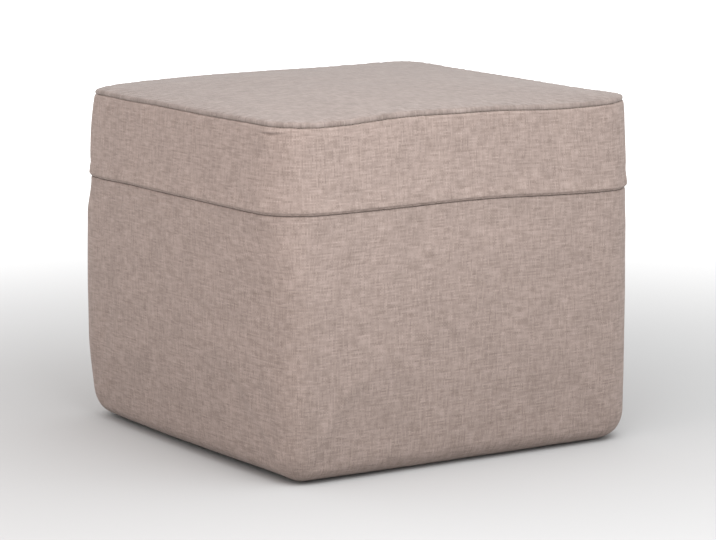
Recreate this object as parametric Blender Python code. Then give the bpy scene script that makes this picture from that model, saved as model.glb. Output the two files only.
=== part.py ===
"""Cube pouf stool: a foam-filled cube in a sewn cover of heathered plain weave.

It stands on the floor at the origin, +Z up, in metres. The front is the -Y face. Each piece
is a stack of rings that follow one rounded square, so neighbours keep an even gap where they
are sewn together.
"""

import math
from collections import namedtuple

import bmesh
import bpy
from mathutils import Vector, noise

# Driving dimensions, in metres.
HALF_WIDTH = 0.2218  # from the middle to a face's plane, as the corners give it
CORNER_RADIUS = 0.046  # upright corners, seen from above
FACE_BULGE = 0.0045  # how far the foam pushes the middle of a face out
LOWER_SEAM = 0.2730  # the welted seam between the body and the boxing
UPPER_SEAM = 0.3593  # the plain seam between the boxing and the top panel
CROWN = 0.0115  # rise of the top panel inside its rounded edge
BOTTOM_TUCK = 0.028  # how far the bottom edge turns under
BOTTOM_RISE = 0.029  # height over which it turns
BASE_HALF_WIDTH = 0.163  # the base panel, inside the turned edge
BASE_RADIUS = 0.020
BASE_THICKNESS = 0.002
FLAT_BAND = 0.006  # of the turned edge, level with the base panel
WELT_RADIUS = 0.0038
WELT_RISE = 0.0006  # of the welt's middle over the seam
SEAM_DEPTH = 0.0064  # how deep the lower seam is drawn in
GROOVE_DEPTH = 0.0072  # how deep the upper seam is drawn in
GAP = 0.0003  # between neighbouring pieces
LEAST_RADIUS = 0.004

# How the rings are divided.
SIDE_STEPS = 13
CORNER_STEPS = 6
TURN_STEPS = 7
WELT_SIDES = 8

# The foam is soft, so the faces are a little uneven and the corners lean.
UNEVEN_DEPTH = 0.0010
UNEVEN_SPAN = 0.13
LEAN_HEIGHT = 0.090
BULGE_HEIGHT = 0.100
SEAM_PULL = 0.045  # how far below the lower seam a corner starts to draw in to it
SEAM_ZONE = 0.010  # beside the lower seam, where all that is sewn there keeps one outline
INSET_BLEND = 0.020
TOP_BLEND = 0.030
TIGHTENING = 0.070  # how far below the lower seam a corner takes to turn tighter and skew
LEAST_BULGE = 0.1

# Each upright corner: how far it leans in at the floor, swells out half-way up the body, draws
# in at the lower seam, stands further in above it and again at the upper seam; and below the
# lower seam, how much tighter it turns and how far it is skewed. Corner 0 ends the front face,
# and they go on anticlockwise, seen from above, which is also the way a corner is skewed.
Corner = namedtuple("Corner", "place lean swell seam_inset upper_inset top_inset tighter skew")
CORNERS = (
    Corner("front right", -0.0004, 0.0000, 0.0010, -0.0012, -0.0005, 0.000, 0.000),
    Corner("back right", 0.0026, 0.0004, 0.0006, 0.0004, 0.0000, 0.000, 0.000),
    Corner("back left", 0.0066, 0.0015, 0.0050, -0.0016, 0.0018, 0.000, 0.000),
    Corner("front left", 0.0050, 0.0000, 0.0000, 0.0000, 0.0000, 0.016, 0.007),
)

# How the level lines wander: how far each lies above its own height, by the place round the
# stool, counted in faces from the front left corner.
Wander = namedtuple("Wander", "around hem lower_seam upper_seam")
WANDERS = (
    Wander(0.00, 0.0014, 0.0026, 0.0002),
    Wander(0.15, 0.0012, 0.0027, -0.0001),
    Wander(0.32, 0.0008, 0.0035, 0.0042),
    Wander(0.45, 0.0005, 0.0044, 0.0040),
    Wander(0.58, 0.0005, 0.0041, 0.0034),
    Wander(0.74, 0.0006, 0.0013, 0.0003),
    Wander(0.86, 0.0008, -0.0003, 0.0002),
    Wander(1.00, 0.0010, -0.0005, 0.0021),
    Wander(1.25, 0.0013, 0.0005, 0.0003),
    Wander(1.50, 0.0015, 0.0015, 0.0007),
    Wander(1.75, 0.0012, 0.0008, 0.0009),
    Wander(2.00, 0.0010, 0.0000, 0.0028),
    Wander(2.25, 0.0014, 0.0007, 0.0006),
    Wander(2.45, 0.0016, 0.0015, 0.0004),
    Wander(2.65, 0.0015, 0.0006, 0.0000),
    Wander(2.80, 0.0015, -0.0008, -0.0016),
    Wander(3.00, 0.0017, -0.0025, -0.0040),
    Wander(3.15, 0.0031, -0.0020, -0.0016),
    Wander(3.30, 0.0035, 0.0004, -0.0011),
    Wander(3.42, 0.0036, 0.0008, 0.0000),
    Wander(3.63, 0.0042, 0.0016, 0.0000),
    Wander(3.83, 0.0042, 0.0018, 0.0007),
    Wander(3.93, 0.0018, 0.0022, 0.0004),
)

# One section of a piece: how far inside the face's plane it lies, its height over the seam or
# floor that it is measured from, and its share of the face's bulge.
Row = namedtuple("Row", "inset rise bulge")
BODY_SIDE = (
    Row(0.0000, 0.048, 1.0),
    Row(0.0000, 0.076, 1.0),
    Row(0.0000, 0.110, 1.0),
    Row(0.0000, 0.150, 1.0),
    Row(0.0000, 0.190, 1.0),
    Row(0.0000, 0.228, 1.0),
)
BODY_SHOULDER = (
    Row(0.0000, -0.0180, 1.0),
    Row(0.0001, -0.0080, 1.0),
    Row(0.0006, -0.0052, 1.0),
    Row(0.0018, -0.0039, 1.0),
    Row(SEAM_DEPTH, -0.0035, 1.0),
)
BOXING_FOOT = (
    Row(SEAM_DEPTH, -0.0035 + GAP, 1.0),
    Row(SEAM_DEPTH, 0.0050, 1.0),
    Row(0.0014, 0.0051, 1.0),
    Row(-0.0004, 0.0062, 1.0),
    Row(-0.0008, 0.0090, 1.0),
    Row(0.0000, 0.0165, 1.0),
)
BOXING_SIDE = (
    Row(0.0003, 0.030, 1.0),
    Row(0.0014, 0.048, 1.0),
    Row(0.0026, 0.063, 1.0),
)
BOXING_SHOULDER = (
    Row(0.0035, -0.0110, 1.0),
    Row(0.0040, -0.0055, 1.0),
    Row(0.0050, -0.0022, 1.0),
    Row(GROOVE_DEPTH, -GAP, 1.0),
)
TOP_EDGE = (
    Row(GROOVE_DEPTH, 0.0000, 1.0),
    Row(0.0052, 0.0013, 1.0),
    Row(0.0047, 0.0030, 1.0),
    Row(0.0060, 0.0048, 1.0),
    Row(0.0095, 0.0062, 0.9),
    Row(0.0150, 0.0073, 0.8),
)
DOME_SCALES = (0.96, 0.91, 0.83, 0.72, 0.58, 0.42, 0.24, 0.10)

CLOTH_COLOUR = (0.46, 0.38, 0.335, 1.0)
SEAT_COLOUR = (0.50, 0.42, 0.375, 1.0)
WELT_COLOUR = (0.44, 0.36, 0.315, 1.0)
BASE_COLOUR = (0.34, 0.28, 0.245, 1.0)

# A place round the ring: its face, how far along the flat (-1 to 1), the direction it faces,
# its corner, how near to it (0 in the middle of a face, 1 at the corner's tip), and how many
# faces from the front left corner.
Step = namedtuple("Step", "face along heading corner nearness around")


def clear_scene():
    for obj in list(bpy.data.objects):
        bpy.data.objects.remove(obj, do_unlink=True)


def smooth(value):
    """0 to 1 with level ends."""
    value = min(max(value, 0.0), 1.0)
    return value * value * (3.0 - 2.0 * value)


def nearness_at(reach, flat_share):
    """How near a place is to a corner's tip, where what follows it turns smoothly."""
    over = max(reach - flat_share, 0.0)
    eased = reach - 0.5 * over * over / (1.0 - flat_share)
    return eased / (0.5 * (1.0 + flat_share))


def flat_step(face, along, flat_share):
    corner = CORNERS[face] if along > 0 else CORNERS[face - 1]
    nearness = nearness_at(abs(along) * flat_share, flat_share)
    around = face + 0.5 * (1.0 + along * flat_share)
    return Step(face, along, -0.5 * math.pi, corner, nearness, around)


def corner_step(face, turned, flat_share):
    """A place this share of the way round the corner that ends a face."""
    reach = flat_share + (1.0 - flat_share) * 2.0 * turned
    nearness = nearness_at(min(reach, 2.0 - reach), flat_share)
    heading = -0.5 * math.pi * (1.0 - turned)
    return Step(face, 1.0, heading, CORNERS[face], nearness, face + 0.5 * (1.0 + reach))


def ring_steps():
    """The places round one rounded square, from the front face's left end, anticlockwise."""
    flat_share = 1.0 - CORNER_RADIUS / HALF_WIDTH
    steps = []
    for face in range(4):
        for count in range(SIDE_STEPS):
            steps.append(flat_step(face, -1.0 + 2.0 * count / SIDE_STEPS, flat_share))
        for count in range(CORNER_STEPS):
            steps.append(corner_step(face, count / CORNER_STEPS, flat_share))
    return steps


STEPS = ring_steps()


def turned_to_face(x, y, face):
    """The point or direction (x, y) of the front face, carried round to another face."""
    for _ in range(face):
        x, y = -y, x
    return Vector((x, y, 0.0))


def plan(step, half, radius):
    """A place on a rounded square of this half width, on the floor."""
    reach = half - radius
    x = step.along * reach + radius * math.cos(step.heading)
    y = -reach + radius * math.sin(step.heading)
    return turned_to_face(x, y, step.face)


def outward(step):
    return turned_to_face(math.cos(step.heading), math.sin(step.heading), step.face)


def wander(around, line):
    """How far one level line strays here, along a smooth curve through its rows."""
    rows = [row for row in WANDERS if row.around <= around]
    index = len(rows) - 1
    places = []
    for offset in (-1, 0, 1, 2):
        turns, wrapped = divmod(index + offset, len(WANDERS))
        row = WANDERS[wrapped]
        places.append((row.around + 4.0 * turns, getattr(row, line)))
    (before, low), (start, first), (end, last), (after, high) = places
    share = (around - start) / (end - start)
    leaving = (last - low) / (end - before) * (end - start)
    arriving = (high - first) / (after - start) * (end - start)
    bend = share * (1.0 - share) * ((1.0 - share) * leaving - share * arriving)
    turn = share * (1.0 - share) * (2.0 * share - 1.0) * (last - first)
    return first + share * (last - first) + bend + turn


def lift(step, height):
    """How far a place at this height rises with the lines above and below it."""
    around = step.around % 4.0
    if height >= LOWER_SEAM:
        share = smooth((height - LOWER_SEAM) / (UPPER_SEAM - LOWER_SEAM))
        upper = wander(around, "upper_seam")
        return upper * share + wander(around, "lower_seam") * (1.0 - share)
    share = smooth(height / LOWER_SEAM)
    return wander(around, "lower_seam") * share + wander(around, "hem") * (1.0 - share)


def unevenness(point):
    sample = point / UNEVEN_SPAN + Vector((7.3, 2.1, 4.7))
    return UNEVEN_DEPTH * noise.noise(sample) * smooth(point.z / BOTTOM_RISE)


def corner_push(corner, height):
    """How far a corner stands out at this height."""
    lean = corner.lean * (1.0 - smooth(height / LEAN_HEIGHT))
    belly = corner.swell * math.sin(math.pi * min(height / LOWER_SEAM, 1.0))
    to_seam = smooth((height - LOWER_SEAM + SEAM_PULL) / (SEAM_PULL - SEAM_ZONE))
    over_seam = smooth((height - LOWER_SEAM - 2.0 * WELT_RADIUS) / INSET_BLEND)
    at_top = smooth((height - UPPER_SEAM) / TOP_BLEND + 1.0)
    inset = corner.seam_inset * to_seam + corner.upper_inset * over_seam
    return belly - lean - inset - corner.top_inset * at_top


def below_seam(height):
    """0 at the lower seam and over it, 1 where a corner has its shape below it."""
    return smooth((LOWER_SEAM - SEAM_ZONE - height) / TIGHTENING)


def skewed(step, height):
    """How far a corner's skew moves this place sideways."""
    corner_index = CORNERS.index(step.corner)
    sideways = turned_to_face(math.sqrt(0.5), math.sqrt(0.5), corner_index)
    return sideways * step.corner.skew * below_seam(height) * step.nearness**2


def side_point(step, inset, height, bulge):
    """A place on the stool's side, this far inside the face's plane."""
    radius = CORNER_RADIUS - inset - step.corner.tighter * below_seam(height)
    point = plan(step, HALF_WIDTH - inset, max(radius, LEAST_RADIUS)) + skewed(step, height)
    point.z = height
    flatness = LEAST_BULGE + (1.0 - LEAST_BULGE) * smooth(height / BULGE_HEIGHT)
    push = FACE_BULGE * bulge * flatness * (1.0 - step.nearness**2)
    push += corner_push(step.corner, height) * step.nearness**4
    push += unevenness(point)
    point += outward(step) * push
    point.z += lift(step, height)
    return point


def side_ring(row, datum=0.0):
    return [side_point(step, row.inset, datum + row.rise, row.bulge) for step in STEPS]


def flat_ring(half, radius, height):
    """A plain ring at one height, for what lies against the floor."""
    return [plan(step, half, radius) + Vector((0.0, 0.0, height)) for step in STEPS]


def bottom_turn():
    """The rings of the bottom edge, from the floor up to the side."""
    rings = []
    for count in range(TURN_STEPS):
        angle = 0.5 * math.pi * count / (TURN_STEPS - 1)
        inset = BOTTOM_TUCK * (1.0 - math.sin(angle))
        height = BOTTOM_RISE * (1.0 - math.cos(angle))
        rings.append(side_ring(Row(inset, height, math.sin(angle))))
    return rings


def add_faces(mesh, rings, closed_profile=False):
    """Skins the rings with quads and returns their vertices, ring by ring."""
    loops = [[mesh.verts.new(point) for point in ring] for ring in rings]
    pairs = list(zip(loops, loops[1:]))
    if closed_profile:
        pairs.append((loops[-1], loops[0]))
    for low, high in pairs:
        for index in range(len(low)):
            after = (index + 1) % len(low)
            mesh.faces.new((low[index], low[after], high[after], high[index]))
    return loops


def add_fan(mesh, loop):
    """Closes a ring with triangles that meet over the stool's middle."""
    centre_height = sum(vertex.co.z for vertex in loop) / len(loop)
    centre = mesh.verts.new((0.0, 0.0, centre_height))
    for index in range(len(loop)):
        mesh.faces.new((loop[index], loop[(index + 1) % len(loop)], centre))


def cloth_material(name, colour):
    material = bpy.data.materials.new(name)
    material.use_nodes = True
    shader = material.node_tree.nodes["Principled BSDF"]
    shader.inputs["Base Color"].default_value = colour
    shader.inputs["Roughness"].default_value = 0.9
    shader.inputs["Metallic"].default_value = 0.0
    material.diffuse_color = colour
    return material


def finish_piece(mesh, name, colour):
    """Turns a bmesh into a smooth-shaded object with its own material."""
    bmesh.ops.recalc_face_normals(mesh, faces=mesh.faces)
    data = bpy.data.meshes.new(name)
    mesh.to_mesh(data)
    mesh.free()
    data.materials.append(cloth_material(name + "_cloth", colour))
    data.shade_smooth()
    data.set_sharp_from_angle(angle=math.radians(50))
    obj = bpy.data.objects.new(name, data)
    bpy.context.scene.collection.objects.link(obj)
    return obj


def make_body():
    """The lower cube, hollowed under the stool by the depth of the base panel."""
    recess_half = BASE_HALF_WIDTH + GAP
    recess_radius = BASE_RADIUS + GAP
    rings = [flat_ring(recess_half, recess_radius, BASE_THICKNESS + GAP)]
    rings.append(flat_ring(recess_half, recess_radius, 0.0))
    rings.append(flat_ring(recess_half + FLAT_BAND, recess_radius + FLAT_BAND, 0.0))
    rings += bottom_turn()
    rings += [side_ring(row) for row in BODY_SIDE]
    rings += [side_ring(row, LOWER_SEAM) for row in BODY_SHOULDER]
    mesh = bmesh.new()
    loops = add_faces(mesh, rings)
    add_fan(mesh, loops[0])
    add_fan(mesh, loops[-1])
    return finish_piece(mesh, "body", CLOTH_COLOUR)


def make_boxing():
    rings = [side_ring(row, LOWER_SEAM) for row in BOXING_FOOT + BOXING_SIDE]
    rings += [side_ring(row, UPPER_SEAM) for row in BOXING_SHOULDER]
    mesh = bmesh.new()
    loops = add_faces(mesh, rings)
    add_fan(mesh, loops[0])
    add_fan(mesh, loops[-1])
    return finish_piece(mesh, "boxing", CLOTH_COLOUR)


def dome_ring(scale):
    """A ring of the crowned seat, rounder and higher towards the middle."""
    edge = TOP_EDGE[-1]
    half = (HALF_WIDTH - edge.inset) * scale
    squareness = scale * (1.0 - (CORNER_RADIUS - edge.inset) / (HALF_WIDTH - edge.inset))
    ring = []
    for step in STEPS:
        point = plan(step, half, half * (1.0 - squareness))
        push = FACE_BULGE * edge.bulge * scale * (1.0 - step.nearness**2)
        push += corner_push(step.corner, UPPER_SEAM) * (step.nearness * scale) ** 4
        point += outward(step) * push
        rise = edge.rise + CROWN * (1.0 - scale**2) + unevenness(point + Vector((0, 0, 1)))
        point.z = UPPER_SEAM + rise + lift(step, UPPER_SEAM) * scale**3
        ring.append(point)
    return ring


def make_top_panel():
    rings = [side_ring(row, UPPER_SEAM) for row in TOP_EDGE]
    rings += [dome_ring(scale) for scale in DOME_SCALES]
    mesh = bmesh.new()
    loops = add_faces(mesh, rings)
    add_fan(mesh, loops[0])
    add_fan(mesh, loops[-1])
    return finish_piece(mesh, "top_panel", SEAT_COLOUR)


def make_welt():
    """A covered cord that lies in the mouth of the lower seam."""
    centre_inset = SEAM_DEPTH - GAP - WELT_RADIUS
    rings = []
    for side in range(WELT_SIDES):
        angle = 2.0 * math.pi * side / WELT_SIDES
        inset = centre_inset - WELT_RADIUS * math.cos(angle)
        rise = WELT_RISE + WELT_RADIUS * math.sin(angle)
        rings.append(side_ring(Row(inset, rise, 1.0), LOWER_SEAM))
    mesh = bmesh.new()
    add_faces(mesh, rings, closed_profile=True)
    return finish_piece(mesh, "welt", WELT_COLOUR)


def make_base_panel():
    """The flat cloth under the stool, level with the turned edge round it."""
    rings = [flat_ring(BASE_HALF_WIDTH, BASE_RADIUS, height) for height in (0.0, BASE_THICKNESS)]
    mesh = bmesh.new()
    loops = add_faces(mesh, rings)
    mesh.faces.new(loops[0])
    mesh.faces.new(loops[1])
    return finish_piece(mesh, "base_panel", BASE_COLOUR)


def main():
    clear_scene()
    make_base_panel()
    make_body()
    make_welt()
    make_boxing()
    make_top_panel()


main()
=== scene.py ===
"""Looks of the cube pouf stool: its cloth, seams and sewing, with a studio and a camera.

Everything is in metres, in the stool's own frame: +Z up, the front is the -Y face. The form
repeats the stool's own sizes, at a finer step. Each filled piece is settled as cloth over its
foam, then gets the small puckers and creases that its seams pull into it.
"""

import math
from collections import namedtuple

import bpy
import numpy as np
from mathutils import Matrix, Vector, noise


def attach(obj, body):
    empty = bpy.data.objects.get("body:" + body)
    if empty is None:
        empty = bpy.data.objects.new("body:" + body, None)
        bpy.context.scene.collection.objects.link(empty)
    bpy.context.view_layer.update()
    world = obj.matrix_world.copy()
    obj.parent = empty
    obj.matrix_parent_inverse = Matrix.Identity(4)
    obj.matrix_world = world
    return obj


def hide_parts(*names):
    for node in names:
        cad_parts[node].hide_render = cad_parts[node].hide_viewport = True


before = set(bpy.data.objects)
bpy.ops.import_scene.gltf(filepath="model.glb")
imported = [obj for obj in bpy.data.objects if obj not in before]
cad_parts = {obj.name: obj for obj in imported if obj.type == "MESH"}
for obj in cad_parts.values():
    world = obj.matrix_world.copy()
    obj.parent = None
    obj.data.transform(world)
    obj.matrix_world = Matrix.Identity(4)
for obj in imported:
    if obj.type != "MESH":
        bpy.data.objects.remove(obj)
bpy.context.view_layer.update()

# ------------ sizes of the stool
HALF_WIDTH = 0.2218  # from the middle to a face's plane, as the corners give it
CORNER_RADIUS = 0.046  # of the upright corners, seen from above
FACE_BULGE = 0.0045  # how far the foam pushes the middle of a face out
LOWER_SEAM = 0.2730  # the welted seam between the body and the boxing
UPPER_SEAM = 0.3593  # the plain seam between the boxing and the top panel
CROWN = 0.0115  # rise of the top panel inside its rolled edge
BOTTOM_TUCK = 0.028  # how far the bottom edge turns under
BOTTOM_RISE = 0.029  # height over which it turns
TURN_ROWS = 9  # rows of points in that turn
BASE_HALF_WIDTH = 0.163  # the base panel, inside the turned edge
BASE_RADIUS = 0.020
BASE_THICKNESS = 0.002
FLAT_BAND = 0.006  # of the turned edge, level with the base panel
BAND_BEVEL = 0.0012  # at that band's inner edge
WELT_RADIUS = 0.0038
WELT_RISE = 0.0006  # of the welt's middle over the seam
SEAM_DEPTH = 0.0064  # how deep the lower seam is drawn in
GROOVE_DEPTH = 0.0072  # how deep the upper seam is drawn in
GAP = 0.0003  # between neighbouring pieces
LEAST_RADIUS = 0.004

# The foam is soft, so the faces are a little uneven and the corners lean.
UNEVEN_DEPTH = 0.0010
UNEVEN_SPAN = 0.13
LEAN_HEIGHT = 0.090
BULGE_HEIGHT = 0.100
SEAM_PULL = 0.045  # how far below the lower seam a corner starts to draw in to it
SEAM_ZONE = 0.010  # beside the lower seam, where all that is sewn there keeps one outline
INSET_BLEND = 0.020
TOP_BLEND = 0.030
TIGHTENING = 0.070  # how far below the lower seam a corner takes to turn tighter and skew
LEAST_BULGE = 0.1

# Each upright corner: how far it leans in at the floor, swells out half-way up the body, draws
# in at the lower seam, stands further in above it and again at the upper seam; and below the
# lower seam, how much tighter it turns and how far it is skewed. Corner 0 ends the front face,
# and they go on anticlockwise, seen from above, which is also the way a corner is skewed.
COLUMNS = "place lean swell seam_inset upper_inset top_inset tighter skew"
Corner = namedtuple("Corner", COLUMNS, defaults=[0.0, 0.0])
CORNERS = (
    Corner("front right", -0.0004, 0.0000, 0.0010, -0.0012, -0.0005),
    Corner("back right", 0.0026, 0.0004, 0.0006, 0.0004, 0.0000),
    Corner("back left", 0.0066, 0.0015, 0.0050, -0.0016, 0.0018),
    Corner("front left", 0.0050, 0.0000, 0.0000, 0.0000, 0.0000, 0.016, 0.007),
)

# How far the level lines lie above their own heights, by the place round the stool, counted
# in faces from the front left corner.
Wander = namedtuple("Wander", "around hem lower_seam upper_seam")
WANDERS = (
    Wander(0.00, 0.0014, 0.0026, 0.0002),
    Wander(0.15, 0.0012, 0.0027, -0.0001),
    Wander(0.32, 0.0008, 0.0035, 0.0042),
    Wander(0.45, 0.0005, 0.0044, 0.0040),
    Wander(0.58, 0.0005, 0.0041, 0.0034),
    Wander(0.74, 0.0006, 0.0013, 0.0003),
    Wander(0.86, 0.0008, -0.0003, 0.0002),
    Wander(1.00, 0.0010, -0.0005, 0.0021),
    Wander(1.25, 0.0013, 0.0005, 0.0003),
    Wander(1.50, 0.0015, 0.0015, 0.0007),
    Wander(1.75, 0.0012, 0.0008, 0.0009),
    Wander(2.00, 0.0010, 0.0000, 0.0028),
    Wander(2.25, 0.0014, 0.0007, 0.0006),
    Wander(2.45, 0.0016, 0.0015, 0.0004),
    Wander(2.65, 0.0015, 0.0006, 0.0000),
    Wander(2.80, 0.0015, -0.0008, -0.0016),
    Wander(3.00, 0.0017, -0.0025, -0.0040),
    Wander(3.15, 0.0031, -0.0020, -0.0016),
    Wander(3.30, 0.0035, 0.0004, -0.0011),
    Wander(3.42, 0.0036, 0.0008, 0.0000),
    Wander(3.63, 0.0042, 0.0016, 0.0000),
    Wander(3.83, 0.0042, 0.0018, 0.0007),
    Wander(3.93, 0.0018, 0.0022, 0.0004),
)

# ------------ the cloth and its sewing
STEP = 0.006  # of the cloth that is settled; it is made twice as fine afterwards
TOP_CELLS = 72  # cells of the seat across, to be settled
SETTLING_FRAMES = 20
CLOTH = {
    "quality": 6,
    "mass": 0.3,
    "air_damping": 4.0,
    "tension_stiffness": 40.0,
    "compression_stiffness": 40.0,
    "shear_stiffness": 12.0,
    "bending_stiffness": 0.4,
    "use_pressure": True,
    "vertex_group_shrink": "taut",
    "shrink_min": -0.008,  # the share that the cloth is too long beside a seam that gathers it
    "shrink_max": 0.002,  # the share that it is too short where it is taut
    "vertex_group_mass": "sewn",
    "pin_stiffness": 1.0,
}
GATHER_REACH = 0.030

# How a piece settles: the foam's pressure, how far a point moves at most, and how long a
# stretch of cloth takes to come free of the seam.
Settling = namedtuple("Settling", "pressure furthest release")
BODY_SETTLING = Settling(0.7, 0.003, 0.015)
BOXING_SETTLING = Settling(1.0, 0.0025, 0.012)
SEAT_SETTLING = Settling(4.2, 0.003, 0.015)

# The filling is a little uneven under the cloth, but not beside the seams or on the floor.
Grain = namedtuple("Grain", "depth span seed")
SIDE_GRAINS = (Grain(0.00030, 0.055, 1), Grain(0.00012, 0.022, 2))
SEAT_GRAINS = (Grain(0.00035, 0.060, 3), Grain(0.00012, 0.024, 4))
GRAIN_START = (7.3, 2.1, 4.7)
GRAIN_STRIDE = (3.1, 1.7, 2.3)  # from one seed to the next
FLOOR_CALM = 0.015
SEAM_CALM = 0.012
SEAT_CALM = 0.02

# The stitches pull little gathers into the cloth: their spacing along the seam, and between
# which shares of it or of their depth each one's width, depth and distance to the next lie.
GATHER_SPACING = 0.014
GATHER_WIDTHS = (0.18, 0.34)
GATHER_DEPTHS = (0.35, 1.0)
GATHER_STEPS = (0.55, 1.6)
SIDE_GATHER = 0.0005  # their depth in the sides
SEAT_GATHER = 0.0004
GATHER_START = 0.003  # how far from a seam of the sides they are fully there

# A seam's gathers on the sides: how far up the cloth the seam lies, how far the gathers reach
# from it, and their seed.
Gathers = namedtuple("Gathers", "level reach seed")

# Creases that the front left corner presses into the boxing: how far each lies round from the
# corner's tip and up from the upper seam, its half length, width and depth, and its slope.
Crease = namedtuple("Crease", "arc height half_length width depth slope")
CREASES = (
    Crease(-0.020, -0.0060, 0.022, 0.0012, 0.0016, 0.03),
    Crease(-0.030, -0.0300, 0.030, 0.0060, 0.0008, -0.25),
    Crease(0.016, -0.0520, 0.026, 0.0050, 0.0006, 0.30),
)
SWELL_SHARE = 0.6  # each crease has a swell over it: its height, place and width, as shares
SWELL_PLACE = 2.2
SWELL_WIDTH = 1.4

# The upright join at the back right corner, where the side cloth meets.
JOIN_DEPTH = 0.0016
JOIN_WIDTH = 0.0012
JOIN_COLUMNS = (0.0009, 0.0020, 0.0036, 0.0062)  # how far the extra columns lie from it

# Rows of points beside the seams: how far in from the face's plane and over the seam each one
# lies, and its share of the face's bulge.
Row = namedtuple("Row", "inset rise bulge", defaults=[1.0])
BODY_SHOULDER = (
    Row(0.0000, -0.0180),
    Row(0.0000, -0.0110),
    Row(0.0000, -0.0068),
    Row(0.0002, -0.0048),
    Row(0.0007, -0.0038),
    Row(0.0015, -0.0033),
    Row(SEAM_DEPTH, -0.0032),
    Row(SEAM_DEPTH + 0.002, -0.0032),
)
# The boxing's foot comes out of the seam and hangs over the welt's upper part as a soft lip.
BOXING_FOOT = (
    Row(SEAM_DEPTH + 0.002, -0.0026),
    Row(SEAM_DEPTH, -0.0025),
    Row(SEAM_DEPTH, 0.0010),
    Row(0.0051, 0.0036),
    Row(0.0023, 0.0047),
    Row(-0.0004, 0.0037),
    Row(-0.0017, 0.0014),
    Row(-0.0019, -0.0001),
    Row(-0.0022, 0.0006),
    Row(-0.0021, 0.0032),
    Row(-0.0013, 0.0075),
    Row(-0.0005, 0.0115),
    Row(0.0000, 0.0165),
)
LIP_ROW = 8  # of the foot: the outer face's lowest, just over the lip's edge
BOXING_SHOULDER = (
    Row(0.0031, -0.0160),
    Row(0.0035, -0.0110),
    Row(0.0037, -0.0090),
    Row(0.0038, -0.0075),
    Row(0.0039, -0.0062),
    Row(0.0040, -0.0050),
    Row(0.0041, -0.0034),
    Row(0.0046, -0.0013),
    Row(0.0060, -0.0003),
    Row(GROOVE_DEPTH + 0.002, -0.0003),
)
TOP_EDGE = (
    Row(GROOVE_DEPTH + 0.002, 0.0001),
    Row(0.0062, 0.0002),
    Row(0.0055, 0.0010),
    Row(0.0052, 0.0026),
    Row(0.0058, 0.0045),
    Row(0.0080, 0.0058, 0.95),
    Row(0.0110, 0.0066, 0.88),
    Row(0.0150, 0.0073, 0.80),
)
SEAT_SEAM = 0.004  # how far along the seat's cloth its seam holds it
SEAT_REACH = 0.010  # how far from there its gathers reach
PINNED_ROW = -4  # of the settled rows: the upper ones from here on are sewn down
SEAM_ROW = -5  # of the finer rows: where the cloth turns into its upper seam

# The base panel's rim: how far in and how high each of its rows lies.
BASE_RIM = (
    (0.0120, 0.0),
    (0.0010, 0.0),
    (0.0002, 0.0003),
    (0.0, 0.0010),
    (0.0002, BASE_THICKNESS - 0.0003),
    (0.0010, BASE_THICKNESS),
)
BASE_COLUMNS = 240

# The welt's cloth is a little slack and uneven, and twisted round its cord.
WELT_STEP = 0.0022
WELT_SIDES = 14
WELT_SLACK = 0.00012
WELT_GRAIN = Grain(0.00016, 0.010, 5)
TWIST_LENGTH = 0.0157
TWIST_DEPTH = 0.00005

# The stitches in the upper seam.
STITCH_SPACING = 0.0042
STITCH_LENGTH = 0.0030
STITCH_RADIUS = 0.00035
STITCH_INSET = 0.0066
STITCH_SIDES, STITCH_RINGS = 6, 5
STITCH_SINK = 0.6  # of its radius, at both ends
STITCH_TAPER = 0.72


# ------------ the form
def smooth(value):
    """0 to 1 with level ends."""
    value = np.clip(value, 0.0, 1.0)
    return value * value * (3.0 - 2.0 * value)


FLAT_SHARE = 1.0 - CORNER_RADIUS / HALF_WIDTH
FLAT_LENGTH = 2.0 * (HALF_WIDTH - CORNER_RADIUS)
BEND_LENGTH = 0.5 * math.pi * CORNER_RADIUS
SIDE_LENGTH = FLAT_LENGTH + BEND_LENGTH
GIRTH = 4.0 * SIDE_LENGTH

# Places round the stool: each has a face's turn, a share along its flat, an outward direction,
# a corner, its nearness to that corner's tip, and its count of faces from the front left.
Places = namedtuple("Places", "turn along heading corner near around")


def nearness_at(reach):
    """How near a place is to a corner's tip, where what follows it turns smoothly."""
    over = np.maximum(reach - FLAT_SHARE, 0.0)
    eased = reach - 0.5 * over**2 / (1.0 - FLAT_SHARE)
    return eased / (0.5 * (1.0 + FLAT_SHARE))


def places_at(arc):
    """Places this far round the stool from the tip of the back right corner, anticlockwise."""
    from_front = (arc + SIDE_LENGTH + FLAT_LENGTH + 0.5 * BEND_LENGTH) % GIRTH
    face = np.floor(from_front / SIDE_LENGTH).astype(int) % 4
    local = from_front - face * SIDE_LENGTH
    bent = local > FLAT_LENGTH
    share = np.clip((local - FLAT_LENGTH) / BEND_LENGTH, 0.0, 1.0)
    along = np.where(bent, 1.0, -1.0 + 2.0 * local / FLAT_LENGTH)
    heading = np.where(bent, -0.5 * math.pi * (1.0 - share), -0.5 * math.pi)
    reach = np.where(bent, FLAT_SHARE + (1.0 - FLAT_SHARE) * 2.0 * share, along * FLAT_SHARE)
    near = nearness_at(np.where(reach > 1.0, 2.0 - reach, np.abs(reach)))
    corner = np.where(along > 0, face, (face + 3) % 4)
    around = (face + 0.5 * (1.0 + reach)) % 4.0
    return Places(0.5 * math.pi * face, along, heading, corner, near, around)


def turned(x, y, turn):
    return np.cos(turn) * x - np.sin(turn) * y, np.sin(turn) * x + np.cos(turn) * y


def points_at(x, y, z):
    return np.stack(np.broadcast_arrays(x, y, z), axis=-1)


def plan(places, half, radius):
    """x and y on a rounded square of this half width."""
    reach = half - radius
    x = places.along * reach + radius * np.cos(places.heading)
    y = -reach + radius * np.sin(places.heading)
    return turned(x, y, places.turn)


def outward(places):
    return turned(np.cos(places.heading), np.sin(places.heading), places.turn)


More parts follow.
